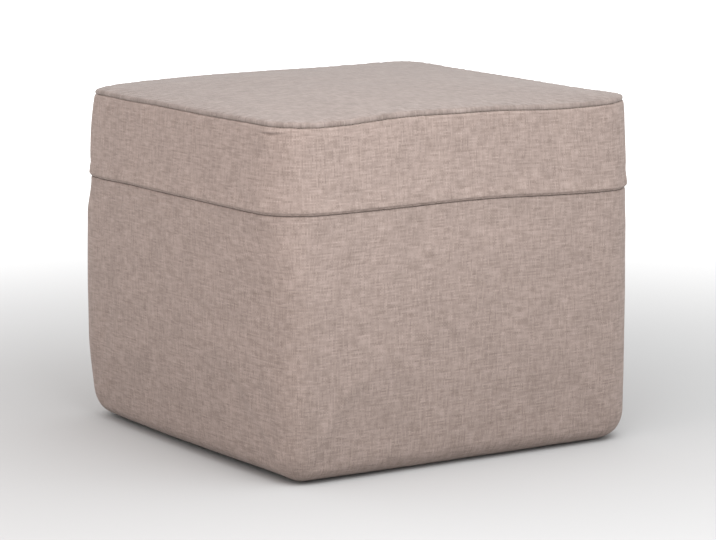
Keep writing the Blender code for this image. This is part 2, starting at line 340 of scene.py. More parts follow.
def wander(around, line):
    """How far one level line strays, along a smooth curve through its rows."""
    known = np.array([row.around for row in WANDERS])
    rise = np.array([getattr(row, line) for row in WANDERS])
    known = np.concatenate([known[-2:] - 4.0, known, known[:3] + 4.0])
    rise = np.concatenate([rise[-2:], rise, rise[:3]])
    slope = np.zeros(len(known))
    slope[1:-1] = (rise[2:] - rise[:-2]) / (known[2:] - known[:-2])
    index = np.searchsorted(known, around, side="right") - 1
    span = known[index + 1] - known[index]
    share = (around - known[index]) / span
    first, last = rise[index], rise[index + 1]
    leaving, arriving = slope[index] * span, slope[index + 1] * span
    bend = share * (1.0 - share) * ((1.0 - share) * leaving - share * arriving)
    sway = share * (1.0 - share) * (2.0 * share - 1.0) * (last - first)
    return first + share * (last - first) + bend + sway


def lift(places, height):
    """How far places at this height rise with the lines above and below them."""
    lower = wander(places.around, "lower_seam")
    above = smooth((height - LOWER_SEAM) / (UPPER_SEAM - LOWER_SEAM))
    below = smooth(height / LOWER_SEAM)
    over = wander(places.around, "upper_seam") * above + lower * (1.0 - above)
    under = lower * below + wander(places.around, "hem") * (1.0 - below)
    return np.where(height >= LOWER_SEAM, over, under)


def grain_at(points, span, seed):
    """Smooth noise at each point, about -1 to 1, with bumps of this span."""
    shift = Vector(GRAIN_START) + Vector([seed * stride for stride in GRAIN_STRIDE])
    flat = points.reshape(-1, 3) / span
    found = [noise.noise(Vector(point) + shift) for point in flat]
    return np.array(found).reshape(points.shape[:-1])


def filling_grain(points, grains):
    """How far the uneven filling pushes the cloth out at each point."""
    return sum(grain.depth * grain_at(points, grain.span, grain.seed) for grain in grains)


def of_corner(places, column):
    """A column of CORNERS, for the corner that each place is nearest."""
    return np.array([getattr(row, column) for row in CORNERS])[places.corner]


def corner_push(places, height):
    """How far the corners stand out at this height."""
    leaning = 1.0 - smooth(height / LEAN_HEIGHT)
    belly = np.sin(math.pi * np.minimum(height / LOWER_SEAM, 1.0))
    to_seam = smooth((height - LOWER_SEAM + SEAM_PULL) / (SEAM_PULL - SEAM_ZONE))
    over_seam = smooth((height - LOWER_SEAM - 2.0 * WELT_RADIUS) / INSET_BLEND)
    at_top = smooth((height - UPPER_SEAM) / TOP_BLEND + 1.0)
    push = of_corner(places, "swell") * belly - of_corner(places, "lean") * leaning
    push -= of_corner(places, "seam_inset") * to_seam
    push -= of_corner(places, "upper_inset") * over_seam
    return push - of_corner(places, "top_inset") * at_top


def below_seam(height):
    """0 at the lower seam and over it, 1 where a corner has its shape below it."""
    return smooth((LOWER_SEAM - SEAM_ZONE - height) / TIGHTENING)


def skewed(places, height):
    """How far the corners' skew moves each place sideways."""
    amount = of_corner(places, "skew") * below_seam(height) * places.near**2
    aside = amount * math.sqrt(0.5)
    return turned(aside, aside, 0.5 * math.pi * places.corner)


def side_points(places, rows):
    """A grid of points on the stool's side, a line for each (inset, height, bulge)."""
    lines = []
    for inset, height, bulge in rows:
        radius = CORNER_RADIUS - inset - of_corner(places, "tighter") * below_seam(height)
        x, y = plan(places, HALF_WIDTH - inset, np.maximum(radius, LEAST_RADIUS))
        aside_x, aside_y = skewed(places, height)
        x, y = x + aside_x, y + aside_y
        flatness = LEAST_BULGE + (1.0 - LEAST_BULGE) * smooth(height / BULGE_HEIGHT)
        push = FACE_BULGE * bulge * flatness * (1.0 - places.near**2)
        push = push + corner_push(places, height) * places.near**4
        points = points_at(x, y, height)
        uneven = UNEVEN_DEPTH * grain_at(points, UNEVEN_SPAN, 0)
        push = push + uneven * smooth(height / BOTTOM_RISE)
        nx, ny = outward(places)
        lines.append(points + points_at(nx * push, ny * push, lift(places, height)))
    return np.array(lines)


def flat_points(places, half, radius, height):
    return points_at(*plan(places, half, radius), height)


def at_seam(rows, seam):
    return [(row.inset, seam + row.rise, row.bulge) for row in rows]


def between(low, high, step):
    """Rows on the flat of a side, evenly spaced between two others."""
    count = max(int(round((high[1] - low[1]) / step)), 1)
    shares = np.arange(1, count) / count
    return [tuple(np.array(low) * (1.0 - s) + np.array(high) * s) for s in shares]


def side_arcs(step):
    """How far round each column lies: even, and closer by the upright join."""
    near = np.array(JOIN_COLUMNS)
    start = near[-1] + step
    count = int(round((GIRTH - 2.0 * start) / step))
    middle = start + (GIRTH - 2.0 * start) * np.arange(count + 1) / count
    return np.concatenate([[0.0], near, middle, GIRTH - near[::-1]])


def pull_join(grid, places, arcs):
    """Draws in the upright join of the side cloth."""
    away = np.minimum(arcs, GIRTH - arcs)
    pull = JOIN_DEPTH * np.exp(-((away / JOIN_WIDTH) ** 2))
    nx, ny = outward(places)
    grid[..., 0] -= nx * pull
    grid[..., 1] -= ny * pull


def lengths_along(grid):
    """How far up the cloth each row lies, measured in the middle of the front face."""
    middle = grid[:, grid.shape[1] * 5 // 8]
    steps = np.linalg.norm(np.diff(middle, axis=0), axis=1)
    return np.concatenate([[0.0], np.cumsum(steps)])


# ------------ grids and meshes
def halved(grid, axis, closed):
    """The grid with a new line between each two along an axis, by the four-point rule."""
    grid = np.moveaxis(grid, axis, 0)
    if closed:
        ahead, far, back = np.roll(grid, -1, 0), np.roll(grid, -2, 0), np.roll(grid, 1, 0)
        middle = (9.0 * (grid + ahead) - back - far) / 16.0
        made = np.stack([grid, middle], axis=1).reshape((-1,) + grid.shape[1:])
    else:
        before = np.concatenate([2.0 * grid[:1] - grid[1:2], grid[:-2]])
        after = np.concatenate([grid[2:], 2.0 * grid[-1:] - grid[-2:-1]])
        middle = (9.0 * (grid[:-1] + grid[1:]) - before - after) / 16.0
        made = np.empty((2 * len(grid) - 1,) + grid.shape[1:])
        made[0::2], made[1::2] = grid, middle
    return np.moveaxis(made, 0, axis)


def finer(grid):
    return halved(halved(grid, 0, False), 1, True)


def finer_arcs(arcs):
    ahead = np.append(arcs[1:], GIRTH)
    return np.stack([arcs, 0.5 * (arcs + ahead)], axis=1).ravel()


def ring_faces(rows, columns, offset=0):
    """Quads between the rows of a closed grid."""
    here = np.arange(columns)
    after = (here + 1) % columns
    faces = []
    for row in range(rows - 1):
        low, high = offset + row * columns, offset + (row + 1) * columns
        faces.append(np.stack([low + here, low + after, high + after, high + here], axis=1))
    return np.concatenate(faces)


def ring_uvs(arcs, heights):
    """For each quad of ring_faces, its corners in metres of cloth."""
    after = np.append(arcs[1:], GIRTH)
    quads = []
    for low, high in zip(heights[:-1], heights[1:]):
        lows, highs = np.full_like(arcs, low), np.full_like(arcs, high)
        corners = [(arcs, lows), (after, lows), (after, highs), (arcs, highs)]
        quads.append(np.stack([np.stack(pair, axis=-1) for pair in corners], axis=1))
    return np.concatenate(quads)


def add_object(name, data):
    obj = bpy.data.objects.new(name, data)
    bpy.context.scene.collection.objects.link(obj)
    return obj


def make_mesh(name, points, faces, uvs=None):
    """A smooth-shaded object; uvs has one (u, v) for each face's corner, in metres of cloth."""
    data = bpy.data.meshes.new(name)
    data.from_pydata([tuple(p) for p in points], [], [tuple(map(int, f)) for f in faces])
    if uvs is not None:
        layer = data.uv_layers.new(name="cloth")
        layer.uv.foreach_set("vector", np.asarray(uvs, np.float32).ravel())
    data.shade_smooth()
    return add_object(name, data)


def cap_faces(first, columns, centre, downward):
    """Triangles from a ring's vertices to a middle one."""
    here = np.arange(columns)
    after = (here + 1) % columns
    start, end = (after, here) if downward else (here, after)
    return np.stack([first + start, first + end, np.full(columns, centre)], axis=1)


def filled_piece(name, grid, arcs):
    """A filled piece from its side grid, closed flat under and over by caps."""
    rows, columns = grid.shape[:2]
    points = [grid.reshape(-1, 3)]
    faces = list(ring_faces(rows, columns))
    uvs = list(ring_uvs(arcs, lengths_along(grid)).reshape(-1, 2))
    flat = np.concatenate([grid.reshape(-1, 3), np.zeros((2, 3))])[:, :2]
    for upper in (False, True):
        ring = grid[-1 if upper else 0]
        centre = len(points[0]) + int(upper)
        points.append(np.array([[0.0, 0.0, ring[:, 2].mean()]]))
        first = (rows - 1) * columns if upper else 0
        cap = cap_faces(first, columns, centre, not upper)
        faces += list(cap)
        uvs += list(flat[cap.ravel()])
    return make_mesh(name, np.concatenate(points), faces, uvs)


# ------------ cloth that settles
def settle(points, faces, pins, fullness, settling):
    """Where the points come to rest as cloth that its foam pushes out.

    pins holds each point from 0, free, to 1, sewn down. fullness is 1 beside a seam, where the
    stitches gather the cloth, and 0 where it is stretched taut.
    """
    obj = make_mesh("settling", points, faces)
    for name, weights in (("sewn", pins), ("taut", 1.0 - fullness)):
        group = obj.vertex_groups.new(name=name)
        for index, weight in enumerate(weights):
            group.add([index], float(weight), "REPLACE")
    cloth = obj.modifiers.new("Cloth", "CLOTH")
    for setting, value in CLOTH.items():
        setattr(cloth.settings, setting, value)
    cloth.settings.uniform_pressure_force = settling.pressure
    cloth.settings.effector_weights.gravity = 0.0
    cloth.point_cache.frame_start = 1
    cloth.point_cache.frame_end = SETTLING_FRAMES
    for count in range(1, SETTLING_FRAMES + 1):
        bpy.context.scene.frame_set(count)
    graph = bpy.context.evaluated_depsgraph_get()
    evaluated = obj.evaluated_get(graph)
    settled = evaluated.to_mesh()
    found = np.empty(len(settled.vertices) * 3, np.float32)
    settled.vertices.foreach_get("co", found)
    evaluated.to_mesh_clear()
    data = obj.data
    bpy.data.objects.remove(obj)
    bpy.data.meshes.remove(data)
    bpy.context.scene.frame_set(1)
    moved = found.reshape(-1, 3).astype(float) - points
    length = np.linalg.norm(moved, axis=1, keepdims=True)
    capped = settling.furthest * np.tanh(length / settling.furthest)
    return points + moved * capped / np.maximum(length, 1e-9)


def settle_grid(grid, pins, fullness, settling):
    """The grid settled, with a pin and a fullness for each of its rows."""
    rows, columns = grid.shape[:2]
    pins, fullness = np.repeat(pins, columns), np.repeat(fullness, columns)
    faces = ring_faces(rows, columns)
    return settle(grid.reshape(-1, 3), faces, pins, fullness, settling).reshape(grid.shape)


def seam_fullness(heights, seams):
    """1 at each seam, fading over the cloth that its stitches gather."""
    full = np.zeros_like(heights)
    for seam in seams:
        full = np.maximum(full, 1.0 - smooth(np.abs(heights - seam) / GATHER_REACH))
    return full


def row_pins(heights, low, high, soft):
    """Pins that hold a piece's first and last rows and let go over a soft stretch."""
    rising = smooth((heights - low) / soft)
    falling = smooth((high - heights) / soft)
    return 1.0 - rising * falling


def grid_normals(grid):
    around = np.roll(grid, -1, axis=1) - np.roll(grid, 1, axis=1)
    up = np.gradient(grid, axis=0)
    normal = np.cross(around, up)
    return normal / np.maximum(np.linalg.norm(normal, axis=-1, keepdims=True), 1e-12)


def gather_pull(arcs, seed, depth):
    """How deep the gathers of a seam are, by the place round it."""
    chance = np.random.default_rng(seed)
    pull = np.zeros_like(arcs)
    place = 0.0
    while place < GIRTH:
        width = GATHER_SPACING * chance.uniform(*GATHER_WIDTHS)
        away = np.abs((arcs - place + 0.5 * GIRTH) % GIRTH - 0.5 * GIRTH)
        pull += depth * chance.uniform(*GATHER_DEPTHS) * np.exp(-((away / width) ** 2))
        place += GATHER_SPACING * chance.uniform(*GATHER_STEPS)
    return pull


def crease_fold(crease, arcs, heights):
    """How deep a crease is at each point, with the swell over it."""
    along = (arcs - crease.arc) / crease.half_length
    line = crease.height + crease.slope * (arcs - crease.arc)
    across = heights[:, None] - line[None, :]
    fold = np.exp(-((across / crease.width) ** 2))
    over = (across - SWELL_PLACE * crease.width) / (SWELL_WIDTH * crease.width)
    fold = fold - SWELL_SHARE * np.exp(-(over**2))
    return crease.depth * fold * smooth(1.0 - np.abs(along))[None, :]


def relief(grid, arcs, heights, seams, creases=(), still=-1.0):
    """The grid with its uneven filling above the still height, and its gathers and creases."""
    normal = grid_normals(grid)
    free = smooth((heights - still) / FLOOR_CALM)
    for seam in seams:
        free = free * smooth(np.abs(heights - seam.level) / SEAM_CALM)
    push = filling_grain(grid, SIDE_GRAINS) * free[:, None]
    for seam in seams:
        away = np.abs(heights - seam.level)
        fade = np.exp(-away / seam.reach) * smooth(away / GATHER_START)
        push -= fade[:, None] * gather_pull(arcs, seam.seed, SIDE_GATHER)[None, :]
    for crease in creases:
        push -= crease_fold(crease, arcs, heights)
    return grid + normal * push[..., None]


# ------------ the pieces
def bottom_rows():
    """The rows of the turned-under bottom edge."""
    rows = []
    for index in range(TURN_ROWS):
        angle = 0.5 * math.pi * index / (TURN_ROWS - 1)
        inset = BOTTOM_TUCK * (1.0 - math.sin(angle))
        rows.append((inset, BOTTOM_RISE * (1.0 - math.cos(angle)), math.sin(angle)))
    return rows


def under_rows(places):
    """The flat band under the stool, from the panel's edge outwards."""
    inner = BASE_HALF_WIDTH + GAP
    sizes = (
        (inner, BASE_RADIUS, BASE_THICKNESS + GAP),
        (inner, BASE_RADIUS, 0.5 * BAND_BEVEL),
        (inner + BAND_BEVEL, BASE_RADIUS + BAND_BEVEL, 0.0),
        (inner + FLAT_BAND, BASE_RADIUS + FLAT_BAND, 0.0),
    )
    return np.array([flat_points(places, *size) for size in sizes])


def make_body():
    """The lower cube's cloth, from its turned-under edge up to the welted seam."""
    arcs = side_arcs(STEP)
    places = places_at(arcs)
    turn = bottom_rows()
    shoulder = at_seam(BODY_SHOULDER, LOWER_SEAM)
    rows = turn + between(turn[-1], shoulder[0], STEP) + shoulder
    under = under_rows(places)
    grid = np.concatenate([under, side_points(places, rows)])
    pull_join(grid[len(under) :], places, arcs)
    heights = lengths_along(grid)
    seam = heights[PINNED_ROW]
    turned_up = heights[len(under) + TURN_ROWS // 2]
    pins = row_pins(heights, turned_up, seam, BODY_SETTLING.release)
    grid = settle_grid(grid, pins, seam_fullness(heights, [seam]), BODY_SETTLING)
    grid, arcs = finer(grid), finer_arcs(arcs)
    under = under_rows(places_at(arcs))
    grid[0 : 2 * len(under) : 2] = under
    grid[1 : 2 * len(under) - 2 : 2] = 0.5 * (under[:-1] + under[1:])
    heights = lengths_along(grid)
    seams = [Gathers(level=heights[SEAM_ROW], reach=0.011, seed=11)]
    grid = relief(grid, arcs, heights, seams, still=heights[2 * len(under) - 1])
    grid[..., 2] = np.maximum(grid[..., 2], 0.0)
    return filled_piece("body_cloth", grid, arcs)


def make_boxing():
    """The strip of cloth between the two seams."""
    arcs = side_arcs(STEP)
    places = places_at(arcs)
    foot = at_seam(BOXING_FOOT, LOWER_SEAM)
    shoulder = at_seam(BOXING_SHOULDER, UPPER_SEAM)
    rows = foot + between(foot[-1], shoulder[0], STEP) + shoulder
    grid = side_points(places, rows)
    pull_join(grid, places, arcs)
    heights = lengths_along(grid)
    low, high = heights[LIP_ROW + 1], heights[PINNED_ROW]
    pins = row_pins(heights, low, high, BOXING_SETTLING.release)
    grid = settle_grid(grid, pins, seam_fullness(heights, [low, high]), BOXING_SETTLING)
    grid, arcs = finer(grid), finer_arcs(arcs)
    heights = lengths_along(grid)
    seams = [
        Gathers(level=heights[2 * LIP_ROW], reach=0.008, seed=21),
        Gathers(level=heights[SEAM_ROW], reach=0.011, seed=22),
    ]
    corner, top = 0.5 * GIRTH, heights[SEAM_ROW]  # the corner is the front left one
    creases = [row._replace(arc=corner + row.arc, height=top + row.height) for row in CREASES]
    grid = relief(grid, arcs, heights, seams, creases)
    return filled_piece("boxing_cloth", grid, arcs)


def dome_points(places, scale):
    """Points of the crowned seat, rounder and higher towards the middle."""
    edge = TOP_EDGE[-1]
    full = HALF_WIDTH - edge.inset
    half = full * scale
    squareness = scale * (1.0 - (CORNER_RADIUS - edge.inset) / full)
    x, y = plan(places, half, half * (1.0 - squareness))
    nx, ny = outward(places)
    push = FACE_BULGE * edge.bulge * scale * (1.0 - places.near**2)
    push = push + corner_push(places, UPPER_SEAM) * (places.near * scale) ** 4
    x, y = x + nx * push, y + ny * push
    points = points_at(x, y, 0.0)
    uneven = UNEVEN_DEPTH * grain_at(points + np.array([0.0, 0.0, 1.0]), UNEVEN_SPAN, 0)
    upper = lift(places, np.full_like(x, UPPER_SEAM))
    crown = CROWN * (1.0 - scale**2)
    points[..., 2] = UPPER_SEAM + edge.rise + crown + uneven + upper * scale**3
    return points


def seat_grid(cells):
    """Where each point of a square sheet lies on the seat: its arc and its scale."""
    line = np.linspace(-1.0, 1.0, cells + 1)
    a, b = np.meshgrid(line, line, indexing="ij")
    scale = np.maximum(np.abs(a), np.abs(b))
    safe = np.maximum(scale, 1e-9)
    a, b = a / safe, b / safe
    quarter = np.select(
        [b >= 1.0 - 1e-9, a <= -1.0 + 1e-9, b <= -1.0 + 1e-9],
        [(1.0 - a) / 2.0, 1.0 + (1.0 - b) / 2.0, 2.0 + (1.0 + a) / 2.0],
        3.0 + (1.0 + b) / 2.0,
    )
    return (quarter % 4.0) * SIDE_LENGTH, scale


def seat_rim(last):
    """The grid's border, as (i, j) pairs, from the back right corner, anticlockwise."""
    rim = [(i, last) for i in range(last, 0, -1)]
    rim += [(0, j) for j in range(last, 0, -1)]
    rim += [(i, 0) for i in range(last)]
    rim += [(last, j) for j in range(last)]
    return np.array(rim)


def seat_faces(cells, offset, rim_first):
    """Quads of the sheet; its border uses the last ring's vertices."""
    index = np.full((cells + 1, cells + 1), -1)
    inner = np.arange((cells - 1) ** 2).reshape(cells - 1, cells - 1)
    index[1:-1, 1:-1] = offset + inner
    rim = seat_rim(cells)
    index[rim[:, 0], rim[:, 1]] = rim_first + np.arange(len(rim))
    quads = np.stack([index[:-1, :-1], index[1:, :-1], index[1:, 1:], index[:-1, 1:]], axis=-1)
    return quads.reshape(-1, 4)


def seat_mesh_parts(edge_grid, sheet):
    """The points and faces of the seat's rolled edge and its crowned sheet, as one."""
    rows, columns = edge_grid.shape[:2]
    cells = columns // 4
    inner = sheet[1:-1, 1:-1].reshape(-1, 3)
    points = np.concatenate([edge_grid.reshape(-1, 3), inner])
    faces = list(ring_faces(rows, columns))
    faces += list(seat_faces(cells, rows * columns, (rows - 1) * columns))
    return points, faces


def make_top_panel():
    """The seat's cloth: a rolled edge at the seam, and the crowned sheet inside it."""
    arcs = GIRTH * np.arange(4 * TOP_CELLS) / (4 * TOP_CELLS)
    edge_grid = side_points(places_at(arcs), at_seam(TOP_EDGE, UPPER_SEAM))
    arc, scale = seat_grid(TOP_CELLS)
    sheet = dome_points(places_at(arc), scale)
    points, faces = seat_mesh_parts(edge_grid, sheet)
    heights = lengths_along(edge_grid)
    inside = heights[-1] + (1.0 - scale[1:-1, 1:-1].ravel()) * HALF_WIDTH
    away = np.concatenate([np.repeat(heights, edge_grid.shape[1]), inside])
    pins = 1.0 - smooth((away - SEAT_SEAM) / SEAT_SETTLING.release)
    points = settle(points, faces, pins, seam_fullness(away, [SEAT_SEAM]), SEAT_SETTLING)
    count = edge_grid.shape[0] * edge_grid.shape[1]
    edge_grid = points[:count].reshape(edge_grid.shape)
    sheet[1:-1, 1:-1] = points[count:].reshape(TOP_CELLS - 1, TOP_CELLS - 1, 3)
    rim = seat_rim(TOP_CELLS)
    sheet[rim[:, 0], rim[:, 1]] = edge_grid[-1]
    edge_grid, arcs = finer(edge_grid), finer_arcs(arcs)
    sheet = halved(halved(sheet, 0, False), 1, False)
    heights = lengths_along(edge_grid)
    seat_relief(edge_grid, sheet, arcs, heights)
    points, faces = seat_mesh_parts(edge_grid, sheet)
    columns = edge_grid.shape[1]
    centre = len(points)
    points = np.concatenate([points, [[0.0, 0.0, edge_grid[0, :, 2].mean()]]])
    faces += list(cap_faces(0, columns, centre, True))
    uvs = np.concatenate([points[list(face)][:, :2] for face in faces])
    return make_mesh("top_panel_cloth", points, faces, uvs)


def seat_relief(edge_grid, sheet, arcs, heights):
    """Gathers at the seat's seam, and small unevenness of the filling under it."""
    columns = edge_grid.shape[1]
    fade = np.exp(-np.abs(heights - SEAT_SEAM) / SEAT_REACH) * smooth(heights / SEAT_SEAM)
    pull = gather_pull(arcs, 31, SEAT_GATHER)
    edge_grid += grid_normals(edge_grid) * (-fade[:, None] * pull[None, :])[..., None]
    arc, scale = seat_grid(columns // 4)
    away = heights[-1] + (1.0 - scale) * HALF_WIDTH
    closed_arcs, closed_pull = np.append(arcs, GIRTH), np.append(pull, pull[0])
    pull = np.interp(arc.ravel(), closed_arcs, closed_pull).reshape(arc.shape)
    sheet[..., 2] -= np.exp(-np.abs(away - SEAT_SEAM) / SEAT_REACH) * pull
    free = smooth((1.0 - scale) * HALF_WIDTH / SEAT_CALM)
    sheet[..., 2] += filling_grain(sheet, SEAT_GRAINS) * free
    rim = seat_rim(columns // 4)
    sheet[rim[:, 0], rim[:, 1]] = edge_grid[-1]


def make_welt():
    """The bias-cut cloth round the cord in the lower seam, with its slight twists."""
    count = int(round(GIRTH / WELT_STEP))
    arcs = GIRTH * np.arange(count) / count
    places = places_at(arcs)
    inset = SEAM_DEPTH - GAP - WELT_RADIUS
    centre = side_points(places, [(inset, LOWER_SEAM + WELT_RISE, 1.0)])[0]
    nx, ny = outward(places)
    lines = []
    for side in range(WELT_SIDES):
        angle = math.tau * side / WELT_SIDES
        aside = WELT_GRAIN.span * math.cos(angle)
        samples = centre + np.array([0.0, 0.0, WELT_GRAIN.span * math.sin(angle)]) + aside
        uneven = WELT_GRAIN.depth * grain_at(samples, WELT_GRAIN.span, WELT_GRAIN.seed)
        wound = np.sin(math.tau * (arcs / TWIST_LENGTH + side / WELT_SIDES))
        radius = WELT_RADIUS - WELT_SLACK + uneven + TWIST_DEPTH * wound
        out, rise = radius * math.cos(angle), radius * math.sin(angle)
        lines.append(centre + points_at(nx * out, ny * out, rise))
    faces = ring_faces(WELT_SIDES + 1, count) % (WELT_SIDES * count)
    lengths = math.tau * WELT_RADIUS * np.arange(WELT_SIDES + 1) / WELT_SIDES
    points = np.array(lines).reshape(-1, 3)
    return make_mesh("welt_cloth", points, faces, ring_uvs(arcs, lengths))


def make_base_panel():
    """The plain cloth under the stool, with a soft edge."""
    arcs = GIRTH * np.arange(BASE_COLUMNS) / BASE_COLUMNS
    places = places_at(arcs)
    lines = []
    for inset, height in BASE_RIM:
        radius = max(BASE_RADIUS - inset, LEAST_RADIUS)
        lines.append(flat_points(places, BASE_HALF_WIDTH - inset, radius, height))
    return filled_piece("base_panel_cloth", np.array(lines), arcs)


def make_stitches():
    """The thread in the upper seam: short stitches all the way round, sunk at both ends."""
    starts = np.arange(0.0, GIRTH - 0.5 * STITCH_SPACING, STITCH_SPACING)
    shares = np.linspace(-1.0, 1.0, STITCH_RINGS)
    places = places_at((starts[:, None] + 0.5 * STITCH_LENGTH * shares) % GIRTH)
    spines = side_points(places, [(STITCH_INSET, UPPER_SEAM, 1.0)])[0]
    angles = math.tau * np.arange(STITCH_SIDES) / STITCH_SIDES
    size = STITCH_RADIUS * np.sqrt(1.0 - STITCH_TAPER * shares**4)[:, None]
    out = size * np.cos(angles) - (STITCH_SINK * STITCH_RADIUS * shares**4)[:, None]
    nx, ny = outward(places)
    offsets = points_at(nx[..., None] * out, ny[..., None] * out, size * np.sin(angles))
    points = (spines[:, :, None] + offsets).reshape(-1, 3)
    faces = []
    for first in range(0, len(points), STITCH_RINGS * STITCH_SIDES):
        last = first + (STITCH_RINGS - 1) * STITCH_SIDES
        faces += list(ring_faces(STITCH_RINGS, STITCH_SIDES, first)[:, ::-1])
        faces.append(range(first, first + STITCH_SIDES))
        faces.append(range(last, last + STITCH_SIDES)[::-1])
    return make_mesh("upper_seam_thread", points, faces)


# ------------ materials
# The cloth's yarns, in metres of cloth; the scales are in bumps to the metre.
YARN_PITCH = 0.0015
YARN_SWAY = 0.7  # of the pitch
SWAY_SCALE = 90.0
YARN_ARCH = 0.45  # the share of a yarn's height that is its arch over the next
YARN_BUMP = 0.00014
Yarns = namedtuple("Yarns", "shift contrast")  # shift sets their own noise apart
WARP, WEFT = Yarns(0.0, 0.62), Yarns(40.0, 0.74)
WEFT_STRETCH = 0.9  # the weft's slubs are a little longer
SLUB_SCALE = 130.0
SLUB_SHARE = 0.35
THICK_SCALE = 60.0
SLUB_STEP, THICK_STEP = 1.37, 0.62  # from yarn to yarn in their noise; nearer ones share more
SHOWS_THROUGH = 0.25  # how much of the yarn beneath shows
FLECK_SCALE = 1500.0
FLECK_CONTRAST = 0.12
MOTTLE_SCALE = 30.0
FUZZ_SCALE = 2600.0
TWIST_SCALE = 1800.0  # of the sewing thread
TWIST_BUMP = 0.0001


class Wires:
    """Short ways to add nodes to a material and wire them together."""

    def __init__(self, name):
        self.material = bpy.data.materials.new(name)
        self.material.use_nodes = True
        self.tree = self.material.node_tree
        self.shader = self.tree.nodes["Principled BSDF"]

    def set(self, socket, value):
        if isinstance(value, bpy.types.NodeSocket):
            self.tree.links.new(value, socket)
        else:
            socket.default_value = value

    def feed(self, name, value):
        """Sets one of the shader's inputs, to a number or to what a node gives."""
        self.set(self.shader.inputs[name], value)

    def node(self, kind, *values, **settings):
        """A new node with these settings, and these values in its first inputs."""
        node = self.tree.nodes.new("ShaderNode" + kind)
        for setting, value in settings.items():
            setattr(node, setting, value)
        for socket, value in zip(node.inputs, values):
            self.set(socket, value)
        return node

    def math(self, operation, *values):
        return self.node("Math", *values, operation=operation).outputs[0]

    def scaled(self, value, factor, added=0.0):
        return self.math("MULTIPLY_ADD", value, factor, added)

    def combine(self, x, y, z=0.0):
        return self.node("CombineXYZ", x, y, z).outputs[0]

    def noise(self, vector, scale, detail=2.0, rough=0.5):
        return self.node("TexNoise", vector, 0.0, scale, detail, rough).outputs["Fac"]

    def spread(self, *values):
        """A value, the ends of its range, and what they turn into if not 0 and 1."""
        return self.node("MapRange", *values, interpolation_type="SMOOTHSTEP").outputs[0]

    def mix(self, share, first, last, blend="MIX"):
        node = self.node("Mix", share, data_type="RGBA", blend_type=blend)
        self.set(node.inputs[6], first)
        self.set(node.inputs[7], last)
        return node.outputs[2]


def cloth_places(wires, turn):
    """u and v of the cloth in metres, turned by an angle."""
    source = wires.node("UVMap", uv_map="cloth").outputs[0]
    turning = wires.node("VectorRotate", source, rotation_type="Z_AXIS")
    wires.set(turning.inputs["Angle"], turn)
    split = wires.node("SeparateXYZ", turning.outputs[0])
    return split.outputs[0], split.outputs[1]


def yarns_at(wires, place, noise_place):
    """Which yarn lies at a place, as a count with its fraction; the yarns sway a little."""
    sway = wires.math("SUBTRACT", wires.noise(noise_place, SWAY_SCALE), 0.5)
    count = wires.math("DIVIDE", place, YARN_PITCH)
    return wires.scaled(sway, YARN_SWAY, count)


def hump(wires, count):
    """0 at each yarn's edges and 1 in its middle."""
    return wires.math("SINE", wires.scaled(wires.math("FRACT", count), math.pi))


def yarn_top(wires, across, along):
    """A yarn's height: round across it, and arched where it goes over another."""
    rounded = wires.scaled(wires.math("POWER", across, 0.5), 1.0 - YARN_ARCH)
    return wires.scaled(along, YARN_ARCH, rounded)


def yarn_shade(wires, yarn, along, kind):
    """How light a yarn is: in short slubs of its own, and in thicker ones it shares."""
    alone = wires.scaled(yarn, SLUB_STEP, kind.shift)
    shared = wires.scaled(yarn, THICK_STEP, kind.shift + 20.0)
    short = wires.combine(alone, wires.scaled(along, SLUB_SCALE))
    long = wires.combine(shared, wires.scaled(along, THICK_SCALE), 9.0)
    slubs, thick = wires.noise(short, 1.0, 1.0), wires.noise(long, 1.0, 1.0)
    thick = wires.scaled(thick, 1.0 - SLUB_SHARE)
    shade = wires.scaled(slubs, SLUB_SHARE, thick)
    return wires.scaled(wires.math("SUBTRACT", shade, 0.5), kind.contrast, 0.5)


def woven_material(name, dark, light, sheen, turn=0.0, tone=1.0):
    """Heathered plain weave: yarns of uneven colour, each over one and under the next, with
    painted shade in the gaps between them.
    """
    wires = Wires(name)
    u, v = cloth_places(wires, turn)
    place = wires.combine(u, v)
    across = yarns_at(wires, u, place)
    upward = yarns_at(wires, v, wires.combine(v, u, 3.0))
    warp, weft = wires.math("FLOOR", across), wires.math("FLOOR", upward)
    over = wires.math("ROUND", wires.math("PINGPONG", wires.math("ADD", warp, weft), 1.0))
    hump_u, hump_v = hump(wires, across), hump(wires, upward)
    warp_top, weft_top = yarn_top(wires, hump_u, hump_v), yarn_top(wires, hump_v, hump_u)
    height = switch(wires, over, weft_top, warp_top)

    warp_shade = yarn_shade(wires, warp, v, WARP)
    weft_shade = yarn_shade(wires, weft, wires.scaled(u, WEFT_STRETCH), WEFT)
    seen = wires.scaled(over, 1.0 - 2.0 * SHOWS_THROUGH, SHOWS_THROUGH)
    shade = switch(wires, seen, weft_shade, warp_shade)
    fleck = wires.math("SUBTRACT", wires.noise(place, FLECK_SCALE, 2.0, 0.6), 0.5)
    shade = wires.scaled(fleck, FLECK_CONTRAST, shade)
    colour = wires.mix(wires.spread(shade, 0.30, 0.70), dark, light)
    # painted shade: the colour darkens where the yarns dip into the gaps between them, by their
    # height
    depth = wires.spread(height, 0.15, 0.8, 0.91, 1.0)
    mottle = wires.noise(place, MOTTLE_SCALE, 4.0)
    mottle = wires.spread(mottle, 0.25, 0.75, 0.95 * tone, 1.04 * tone)
    # the painted gap shade, times the cloth's random mottle of tone
    gap_shade_and_mottle = grey_of(wires, wires.scaled(depth, mottle))
    colour = wires.mix(1.0, colour, gap_shade_and_mottle, "MULTIPLY")

    wires.feed("Base Color", colour)
    wires.feed("Roughness", wires.spread(shade, 0.2, 0.8, 0.92, 0.84))
    wires.feed("Specular IOR Level", 0.25)
    wires.feed("Sheen Weight", sheen)
    wires.feed("Sheen Roughness", 0.45)
    fuzz = wires.noise(place, FUZZ_SCALE, 2.0, 0.6)
    bumps = wires.scaled(shade, 0.25, height)
    add_bump(wires, wires.scaled(fuzz, 0.25, bumps), YARN_BUMP)
    return wires.material


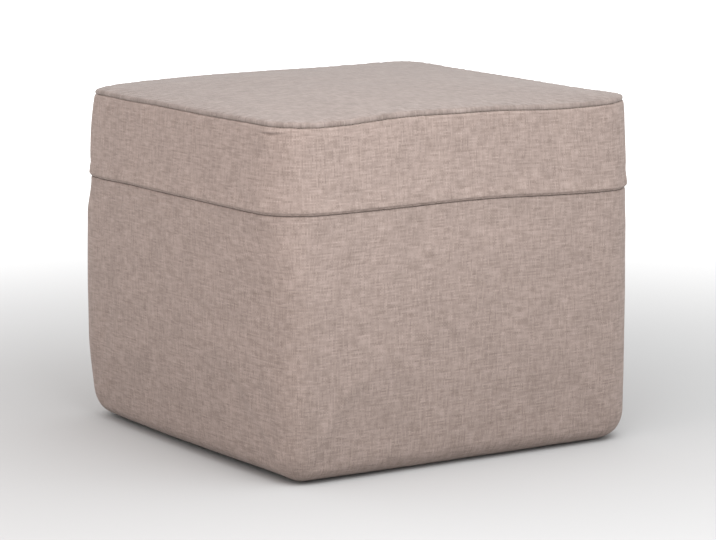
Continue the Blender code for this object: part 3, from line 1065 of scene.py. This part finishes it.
def switch(wires, share, first, last):
    """first where share is 0, last where it is 1."""
    gap = wires.math("SUBTRACT", last, first)
    return wires.scaled(gap, share, first)


def grey_of(wires, value):
    return wires.node("CombineColor", value, value, value).outputs[0]


def add_bump(wires, height, depth):
    bump = wires.node("Bump", 1.0, depth)
    wires.set(bump.inputs["Height"], height)
    wires.feed("Normal", bump.outputs[0])


def thread_material(name, colour):
    """Twisted sewing thread."""
    wires = Wires(name)
    place = wires.node("TexCoord").outputs["Object"]
    twist = wires.noise(place, TWIST_SCALE, 2.0)
    shade = wires.spread(twist, 0.3, 0.7, 0.75, 1.05)
    tinted = wires.mix(1.0, colour, grey_of(wires, shade), "MULTIPLY")
    wires.feed("Base Color", tinted)
    wires.feed("Roughness", 0.7)
    add_bump(wires, twist, TWIST_BUMP)
    return wires.material


# ------------ studio and camera
CAMERA_AROUND = math.radians(-32.44)
CAMERA_UP = math.radians(9.28)
CAMERA_AWAY = 3.36
CAMERA_REACH = 60.0
SENSOR_WIDTH = 36.0
FOCAL_PIXELS = 3123.0  # the focal length, in pixels of the photo
PHOTO_PIXELS = 716.0  # the photo's width
AIM_HEIGHT = 0.194
AIM_ACROSS = 0.00593
AIM_DOWN = 0.02343


def aim_at(obj, target):
    obj.rotation_euler = (Vector(target) - obj.location).to_track_quat("-Z", "Y").to_euler()


def make_camera():
    data = bpy.data.cameras.new("camera")
    data.sensor_width = SENSOR_WIDTH
    data.lens = FOCAL_PIXELS * SENSOR_WIDTH / PHOTO_PIXELS
    data.clip_end = CAMERA_REACH
    obj = add_object("camera", data)
    level = CAMERA_AWAY * math.cos(CAMERA_UP)
    height = AIM_HEIGHT + CAMERA_AWAY * math.sin(CAMERA_UP)
    obj.location = (level * math.sin(CAMERA_AROUND), -level * math.cos(CAMERA_AROUND), height)
    across = (AIM_ACROSS * math.cos(CAMERA_AROUND), AIM_ACROSS * math.sin(CAMERA_AROUND))
    aim_at(obj, (across[0], across[1], AIM_HEIGHT - AIM_DOWN))
    bpy.context.scene.camera = obj


# Square softboxes: their bearing from the front and height above the floor in degrees, how far
# they stand from the stool, how wide they are, their power in watts and their tint.
Softbox = namedtuple("Softbox", "name around up away wide power tint")
SOFTBOXES = (
    Softbox("key", -20.0, 35.0, 0.9, 0.5, 2.7, (0.98, 1.0, 1.01)),
    Softbox("front_fill", 20.0, 50.0, 1.5, 0.8, 4.3, (0.96, 1.0, 1.04)),
    Softbox("left_fill", -75.0, 40.0, 1.7, 0.9, 4.4, (1.10, 0.90, 0.85)),
    Softbox("right_fill", 65.0, 35.0, 1.9, 0.9, 0.9, (1.0, 1.0, 1.0)),
)
BOX_AIM = 0.2  # the height that they are aimed at
SKY_LIGHT = 1.17
FLOOR_REACH = 30.0
FLOOR_TONE = 0.50
FAR_GLOW = 1.0  # how much painted glow the floor gives far from the stool
GLOW_FROM, GLOW_TO = 0.3, 2.4  # how far from it the glow starts and is full


def add_softbox(box):
    """A softbox aimed at the stool."""
    data = bpy.data.lights.new(box.name, "AREA")
    data.shape = "SQUARE"
    data.size = box.wide
    data.energy = box.power
    data.color = box.tint
    obj = add_object(box.name, data)
    bearing, rise = math.radians(box.around), math.radians(box.up)
    level = box.away * math.cos(rise)
    height = BOX_AIM + box.away * math.sin(rise)
    obj.location = (level * math.sin(bearing), -level * math.cos(bearing), height)
    aim_at(obj, (0.0, 0.0, BOX_AIM))


def make_floor():
    """A plain pale floor with a painted glow far away, where the softboxes don't reach."""
    corners = [(-1, -1), (1, -1), (1, 1), (-1, 1)]
    points = [(FLOOR_REACH * x, FLOOR_REACH * y, 0.0) for x, y in corners]
    floor = make_mesh("floor", points, [(0, 1, 2, 3)])
    wires = Wires("floor_paper")
    place = wires.node("TexCoord").outputs["Object"]
    mottle = wires.noise(place, 1.3, 2.0)
    mottle = wires.spread(mottle, 0.2, 0.8, 0.98 * FLOOR_TONE, 1.02 * FLOOR_TONE)
    wires.feed("Base Color", grey_of(wires, mottle))
    wires.feed("Roughness", 0.9)
    wires.feed("Specular IOR Level", 0.1)
    away = wires.node("VectorMath", place, operation="LENGTH").outputs["Value"]
    # painted light: the floor glows, more the further it lies from the stool
    glow = wires.spread(away, GLOW_FROM, GLOW_TO, 0.0, FAR_GLOW)
    wires.feed("Emission Color", (1.0, 1.0, 1.0, 1.0))
    wires.feed("Emission Strength", glow)
    floor.data.materials.append(wires.material)


def make_studio():
    world = bpy.data.worlds.new("studio")
    bpy.context.scene.world = world
    world.use_nodes = True
    background = world.node_tree.nodes["Background"]
    background.inputs["Color"].default_value = (1.0, 1.0, 1.0, 1.0)
    background.inputs["Strength"].default_value = SKY_LIGHT
    for box in SOFTBOXES:
        add_softbox(box)
    bpy.context.scene.view_settings.view_transform = "Standard"
    make_floor()


# ------------ putting it together
SIDE_DARK, SIDE_LIGHT = (0.195, 0.148, 0.126, 1.0), (0.393, 0.312, 0.279, 1.0)
# The seat's colours are the side cloth's, painted darker and greyer: painted shade on the top.
SEAT_SHADED_DARK, SEAT_SHADED_LIGHT = (0.166, 0.129, 0.112, 1.0), (0.328, 0.270, 0.245, 1.0)
THREAD_COLOUR = (0.36, 0.29, 0.25, 1.0)
SIDE_SHEEN, SEAT_SHEEN = 0.06, 0.15
BASE_TONE = 0.7
BIAS = math.radians(45.0)


def dress(piece, material, slot_name, *nodes):
    """Puts a piece in its material and the place of the nodes that it replaces. Its slot name
    is not used.
    """
    piece.data.materials.append(material)
    if nodes:
        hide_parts(*nodes)
    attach(piece, "root")
    return piece


def make_stool():
    side = woven_material("side_weave", SIDE_DARK, SIDE_LIGHT, SIDE_SHEEN)
    # the seat's weave has painted shade: its colours are the side cloth's made darker and
    # greyer
    seat = woven_material("seat_weave_painted_shade", SEAT_SHADED_DARK, SEAT_SHADED_LIGHT, SEAT_SHEEN)
    bias = woven_material("welt_weave", SIDE_DARK, SIDE_LIGHT, SIDE_SHEEN, turn=BIAS)
    base = woven_material("base_weave", SIDE_DARK, SIDE_LIGHT, SIDE_SHEEN, tone=BASE_TONE)
    thread = thread_material("sewing_thread", THREAD_COLOUR)
    body = dress(make_body(), side, "side_cloth", "body")
    boxing = dress(make_boxing(), side, "side_cloth", "boxing")
    top = dress(make_top_panel(), seat, "seat_cloth", "top_panel")
    dress(make_welt(), bias, "welt_cloth", "welt")
    panel = dress(make_base_panel(), base, "base_cloth", "base_panel")
    dress(make_stitches(), thread, "side_cloth")


make_studio()
make_camera()
make_stool()
